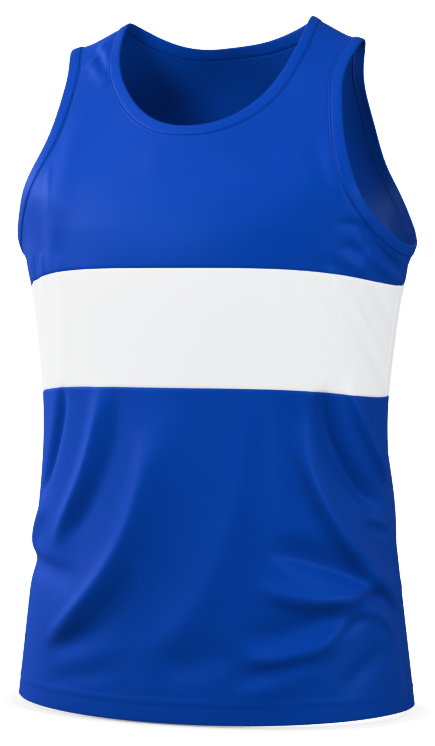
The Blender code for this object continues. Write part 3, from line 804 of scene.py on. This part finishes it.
def stitch_row(name, stretches):
    """Short stitches at even distances along a line on the cloth."""
    line = np.concatenate(stretches)
    along = travelled_along(line[:, :3])
    count = round(along[-1] / STITCH_SPACING)
    stations = (np.arange(count) + 0.5) * along[-1] / count
    at, ahead = (np.stack([np.interp(stations + step, along, values) for values in line.T], -1)
                 for step in (0, STITCH_LENGTH / 2))
    mesh = bmesh.new()
    for here, there in zip(at, ahead):
        forward = Vector(there[:3] - here[:3]).normalized()
        aside = forward.cross(Vector(here[3:])).normalized()
        turn = Matrix((aside * STITCH_WIDTH / 2, aside.cross(forward) * STITCH_HEIGHT / 2,
                       forward * STITCH_LENGTH / 2)).transposed().to_4x4()
        bmesh.ops.create_uvsphere(mesh, u_segments=THREAD_SIDES, v_segments=THREAD_RINGS,
                                  radius=1.0, matrix=Matrix.Translation(here[:3]) @ turn)
    return finish_piece(mesh, name, THREAD_BLUE)


def neck_stitches(name, distance):
    return stitch_row(name, [needle_line("front", 1, neck_opening, distance, -1),
                             needle_line("back", 1, neck_opening, distance, -1)[::-1],
                             needle_line("back", -1, neck_opening, distance, 1),
                             needle_line("front", -1, neck_opening, distance, 1)[::-1]])


def armhole_stitches(name, side, distance):
    return stitch_row(name, [needle_line("front", side, armhole_opening, distance, side),
                             needle_line("back", side, armhole_opening, distance, side)[::-1]])


# ------------------------ materials
class Value:
    """A shader socket that can be used in Python expressions."""

    def __init__(self, nodes, socket):
        self.nodes = nodes
        self.socket = socket

    def maths(self, operation, *inputs):
        return self.nodes.make("ShaderNodeMath", {"operation": operation}, dict(enumerate(inputs)))

    def __add__(self, other):
        return self.maths("ADD", self, other)

    def __radd__(self, other):
        return self.maths("ADD", other, self)

    def __sub__(self, other):
        return self.maths("SUBTRACT", self, other)

    def __rsub__(self, other):
        return self.maths("SUBTRACT", other, self)

    def __mul__(self, other):
        return self.maths("MULTIPLY", self, other)

    def __rmul__(self, other):
        return self.maths("MULTIPLY", other, self)

    def __truediv__(self, other):
        return self.maths("DIVIDE", self, other)

    def __pow__(self, other):
        return self.maths("POWER", self, other)


class Nodes:
    """The nodes of one material, or of the world."""

    def __init__(self, owner, shader="Principled BSDF"):
        owner.use_nodes = True
        self.tree = owner.node_tree
        self.shader = self.tree.nodes[shader]

    def make(self, kind, settings=None, inputs=None, output=0):
        """A node of a kind, with its settings and then its inputs; the chosen output comes back."""
        node = self.tree.nodes.new(kind)
        for name, setting in (settings or {}).items():
            setattr(node, name, setting)
        for name, value in (inputs or {}).items():
            self.feed(node.inputs[name], value)
        return Value(self, node.outputs[output])

    def feed(self, socket, value):
        if isinstance(value, Value):
            self.tree.links.new(value.socket, socket)
        else:
            socket.default_value = value


WALE = 0.0009                 # width of one column of knitted loops
COURSE = 0.0008               # height of one row of loops
LOOP_SWING = 0.8              # how far a row of loops rises and falls over the columns, in radians
LOOP_HEIGHT = 0.00002
FLUFF_SCALE = 900.0           # fibres that stand up
FLUFF_HEIGHT = 0.000004
TONE_SCALE = 9.0              # slow changes of tone
KNIT_SPECULAR = 0.13
GRAZING_ROUGHNESS = 0.55      # the fibres dull the gloss at a low angle
SHEEN_ROUGHNESS = 0.45
FIBRE_SCALE = 2500.0          # of the thread
FIBRE_HEIGHT = 0.00005


def knit_material(name, colour, shade, roughness, sheen, gloss, bump):
    """A smooth knit: fine upright wales and courses, and slow changes of tone."""
    material = bpy.data.materials.new(name)
    nodes = Nodes(material)
    place = nodes.make("ShaderNodeAttribute", {"attribute_name": "place"}, output="Vector")
    around = nodes.make("ShaderNodeSeparateXYZ", inputs={"Vector": place}, output="X")
    upright = nodes.make("ShaderNodeSeparateXYZ", inputs={"Vector": place}, output="Y")
    solid = nodes.make("ShaderNodeTexCoord", output="Object")
    wale = nodes.make("ShaderNodeMath", {"operation": "SINE"}, {0: around * (2 * math.pi / WALE)})
    loop = nodes.make("ShaderNodeMath", {"operation": "SINE"},
                      {0: upright * (2 * math.pi / COURSE) + wale * LOOP_SWING})
    yarn = wale * 0.5 + loop * 0.5
    fluff = nodes.make("ShaderNodeTexNoise",
                       inputs={"Vector": solid, "Scale": FLUFF_SCALE, "Detail": 2.0})
    tone = nodes.make("ShaderNodeTexNoise",
                      inputs={"Vector": solid, "Scale": TONE_SCALE, "Detail": 3.0})
    mixed = nodes.make("ShaderNodeMix", {"data_type": "RGBA", "clamp_factor": True},
                       {0: tone * 0.6 + yarn * 0.06 + fluff * 0.15, 6: shade, 7: colour}, output=2)
    nodes.feed(nodes.shader.inputs["Base Color"], mixed)
    grazing = nodes.make("ShaderNodeLayerWeight", inputs={"Blend": 0.5}, output="Facing") ** 2
    nodes.feed(nodes.shader.inputs["Roughness"],
               roughness + tone * 0.06 + grazing * GRAZING_ROUGHNESS)
    nodes.feed(nodes.shader.inputs["Sheen Weight"], sheen)
    nodes.feed(nodes.shader.inputs["Sheen Roughness"], SHEEN_ROUGHNESS)
    nodes.feed(nodes.shader.inputs["Sheen Tint"], gloss)
    nodes.feed(nodes.shader.inputs["Specular IOR Level"], KNIT_SPECULAR)
    nodes.feed(nodes.shader.inputs["Specular Tint"], gloss)
    height = yarn * LOOP_HEIGHT + fluff * FLUFF_HEIGHT
    normal = nodes.make("ShaderNodeBump",
                        inputs={"Strength": bump, "Distance": 1.0, "Height": height})
    nodes.feed(nodes.shader.inputs["Normal"], normal)
    material.diffuse_color = colour
    return material


def thread_material(name, colour, shade):
    """Twisted thread with a soft gloss."""
    material = bpy.data.materials.new(name)
    nodes = Nodes(material)
    solid = nodes.make("ShaderNodeTexCoord", output="Object")
    fibre = nodes.make("ShaderNodeTexNoise",
                       inputs={"Vector": solid, "Scale": FIBRE_SCALE, "Detail": 2.0})
    mixed = nodes.make("ShaderNodeMix", {"data_type": "RGBA", "clamp_factor": True},
                       {0: fibre, 6: shade, 7: colour}, output=2)
    nodes.feed(nodes.shader.inputs["Base Color"], mixed)
    nodes.feed(nodes.shader.inputs["Roughness"], fibre * 0.1 + 0.4)
    nodes.feed(nodes.shader.inputs["Specular IOR Level"], 0.3)
    normal = nodes.make("ShaderNodeBump",
                        inputs={"Strength": 0.3, "Distance": 1.0, "Height": fibre * FIBRE_HEIGHT})
    nodes.feed(nodes.shader.inputs["Normal"], normal)
    material.diffuse_color = colour
    return material


BLUE = (0.0013, 0.042, 0.272, 1.0)
DEEP_BLUE = (0.0010, 0.035, 0.240, 1.0)
BLUE_GLOSS = (0.12, 0.42, 1.0, 1.0)
WHITE = (0.748, 0.757, 0.790, 1.0)
OFF_WHITE = (0.708, 0.717, 0.752, 1.0)
WHITE_GLOSS = (1.0, 1.0, 1.0, 1.0)

KNIT_BLUE = knit_material("blue_knit", BLUE, DEEP_BLUE, roughness=0.46, sheen=0.04,
                          gloss=BLUE_GLOSS, bump=0.35)
KNIT_WHITE = knit_material("white_knit", WHITE, OFF_WHITE, roughness=0.52, sheen=0.02,
                           gloss=WHITE_GLOSS, bump=0.30)
BINDING_BLUE = knit_material("blue_binding", BLUE, DEEP_BLUE, roughness=0.44, sheen=0.05,
                             gloss=BLUE_GLOSS, bump=0.45)
THREAD_BLUE = thread_material("blue_thread", BLUE, DEEP_BLUE)


def declare_panel(node):
    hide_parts(node)


def declare_binding(piece, node, sewn_on):
    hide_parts(node)


for panel in ("front", "back"):
    upper = upper_cloth(panel, KNIT_BLUE)
    band = band_cloth(panel, KNIT_WHITE)
    lower = lower_cloth(panel, KNIT_BLUE)
    hem_stitches = stitch_row(panel + "_hem_stitches", [hem_needle_line(panel)])
    declare_panel(panel + "_upper")
    declare_panel(panel + "_band")
    declare_panel(panel + "_lower")
declare_binding(neck_binding(), "neck_binding",
                [neck_stitches("neck_stitches_" + row, distance) for row, distance in NEEDLE_LINES])
for name, side in (("left", 1), ("right", -1)):
    node = "armhole_binding_" + name
    declare_binding(armhole_binding(node, side), node,
                    [armhole_stitches("armhole_stitches_" + name + "_" + row, side, distance)
                     for row, distance in NEEDLE_LINES])

# ------------------------ floor, light and camera
FLOOR_LEVEL = HEM_LEVEL - 0.0008
FLOOR_RADIUS = 30.0
FLOOR_COLOUR = (0.12, 0.12, 0.125, 1.0)
# The floor's glow is a little lower near the garment than far off: painted shade round it.
FLOOR_GLOW = {"near": 2.4, "far": 2.6}
FLOOR_GLOW_REACH = {"near": 0.35, "far": 1.50}
PAINTED_SHADOW_REACH = 0.020         # how near the garment the floor's painted contact shadow reaches
PAINTED_SHADOW_DEPTH = 3             # how dark the painted contact shadow is
BACKDROP_GLOW = 2.6
AMBIENT = 0.38
LIGHT_AIM = Vector((0, 0, -0.10))
# Each light: its name, azimuth and elevation in degrees, distance and size, and power in watts
LIGHTS = (
    ("key", -20.0, 16.0, 1.6, 0.6, 21.0),
    ("left", -76.0, 20.0, 1.7, 0.7, 33.0),
    ("high", -35.0, 55.0, 2.1, 0.8, 4.5),
    ("right", 66.0, 6.0, 1.7, 0.6, 23.0),
    ("back", -159.0, 22.0, 2.0, 1.0, 30.0),
    ("behind_left", -112.0, 15.0, 2.0, 0.9, 16.0),
)


def seen_by_camera(nodes):
    return nodes.make("ShaderNodeLightPath", output="Is Camera Ray")


def pale_floor():
    """A round floor that glows to the eye alone, with painted shade: a little dimmer near the
    garment, and a painted contact shadow right beside it.
    """
    mesh = bmesh.new()
    bmesh.ops.create_circle(mesh, cap_ends=True, segments=96, radius=FLOOR_RADIUS)
    bmesh.ops.translate(mesh, verts=mesh.verts, vec=(0, 0, FLOOR_LEVEL))
    data = bpy.data.meshes.new("floor")
    mesh.to_mesh(data)
    mesh.free()
    material = bpy.data.materials.new("floor")
    nodes = Nodes(material)
    solid = nodes.make("ShaderNodeTexCoord", output="Object")
    far = nodes.make("ShaderNodeVectorMath", {"operation": "LENGTH"}, {0: solid}, output="Value")
    glow = nodes.make("ShaderNodeMapRange", {"interpolation_type": "SMOOTHSTEP"},
                      {"Value": far, "From Min": FLOOR_GLOW_REACH["near"],
                       "From Max": FLOOR_GLOW_REACH["far"],
                       "To Min": FLOOR_GLOW["near"], "To Max": FLOOR_GLOW["far"]})
    # Painted contact shadow: the glow is cut where the garment stands close over the floor.
    painted_shadow_share = nodes.make("ShaderNodeAmbientOcclusion", inputs={"Distance": PAINTED_SHADOW_REACH},
                          output="AO")
    nodes.feed(nodes.shader.inputs["Base Color"], FLOOR_COLOUR)
    nodes.feed(nodes.shader.inputs["Roughness"], 0.9)
    nodes.feed(nodes.shader.inputs["Specular IOR Level"], 0.0)
    nodes.feed(nodes.shader.inputs["Emission Color"], (1.0, 1.0, 1.0, 1.0))
    nodes.feed(nodes.shader.inputs["Emission Strength"],
               glow * seen_by_camera(nodes) * painted_shadow_share ** PAINTED_SHADOW_DEPTH)
    data.materials.append(material)
    floor = bpy.data.objects.new("floor", data)
    bpy.context.scene.collection.objects.link(floor)


def soft_light(name, azimuth, elevation, distance, size, power):
    """A round soft box that looks at the chest. Azimuth 0 is in front, + to the wearer's left."""
    a, e = math.radians(azimuth), math.radians(elevation)
    way = Vector((math.sin(a) * math.cos(e), -math.cos(a) * math.cos(e), math.sin(e)))
    data = bpy.data.lights.new(name, "AREA")
    data.shape = "DISK"
    data.size = size
    data.energy = power
    light = bpy.data.objects.new(name, data)
    light.location = LIGHT_AIM + way * distance
    light.rotation_euler = (-way).to_track_quat("-Z", "Y").to_euler()
    bpy.context.scene.collection.objects.link(light)


def studio_world():
    """White to the eye, and a softer white as light."""
    world = bpy.data.worlds.new("studio")
    bpy.context.scene.world = world
    nodes = Nodes(world, "Background")
    strength = nodes.make("ShaderNodeMix", {"data_type": "FLOAT"},
                          {0: seen_by_camera(nodes), 2: AMBIENT, 3: BACKDROP_GLOW})
    nodes.feed(nodes.shader.inputs["Color"], (1.0, 1.0, 1.0, 1.0))
    nodes.feed(nodes.shader.inputs["Strength"], strength)


# Response of the film: brightness in the scene, and brightness in the picture
FILM_WHITE = 2.5
FILM_CURVE = (
    (0.24, 0.215),
    (0.50, 0.515),
    (0.70, 0.735),
    (0.90, 0.825),
    (1.40, 0.915),
)


def film_response():
    view = bpy.context.scene.view_settings
    view.view_transform = "Standard"
    view.use_curve_mapping = True
    mapping = view.curve_mapping
    mapping.white_level = (FILM_WHITE,) * 3
    for scene_value, picture_value in FILM_CURVE:
        mapping.curves[3].points.new(scene_value / FILM_WHITE, picture_value)
    mapping.update()


pale_floor()
studio_world()
for row in LIGHTS:
    soft_light(*row)
film_response()

CAMERA_AZIMUTH = math.radians(21.17)
CAMERA_DISTANCE = 2.575
CAMERA_HEIGHT = -0.2495
CAMERA_PITCH = math.radians(-2.01)
PICTURE_HEIGHT = 746
FOCAL_PIXELS = 2554.8
SENSOR = 36.0                 # millimetres
OFF_CENTRE_PIXELS = 3.44

camera_data = bpy.data.cameras.new("camera")
camera_data.sensor_width = SENSOR
camera_data.lens = FOCAL_PIXELS / PICTURE_HEIGHT * SENSOR
camera_data.shift_x = OFF_CENTRE_PIXELS / PICTURE_HEIGHT
camera = bpy.data.objects.new("camera", camera_data)
to_camera = Vector((math.sin(CAMERA_AZIMUTH), -math.cos(CAMERA_AZIMUTH), 0))
camera.location = to_camera * CAMERA_DISTANCE + Vector((0, 0, CAMERA_HEIGHT))
look = -to_camera * math.cos(CAMERA_PITCH) + Vector((0, 0, math.sin(CAMERA_PITCH)))
camera.rotation_euler = look.to_track_quat("-Z", "Y").to_euler()
bpy.context.scene.collection.objects.link(camera)
bpy.context.scene.camera = camera
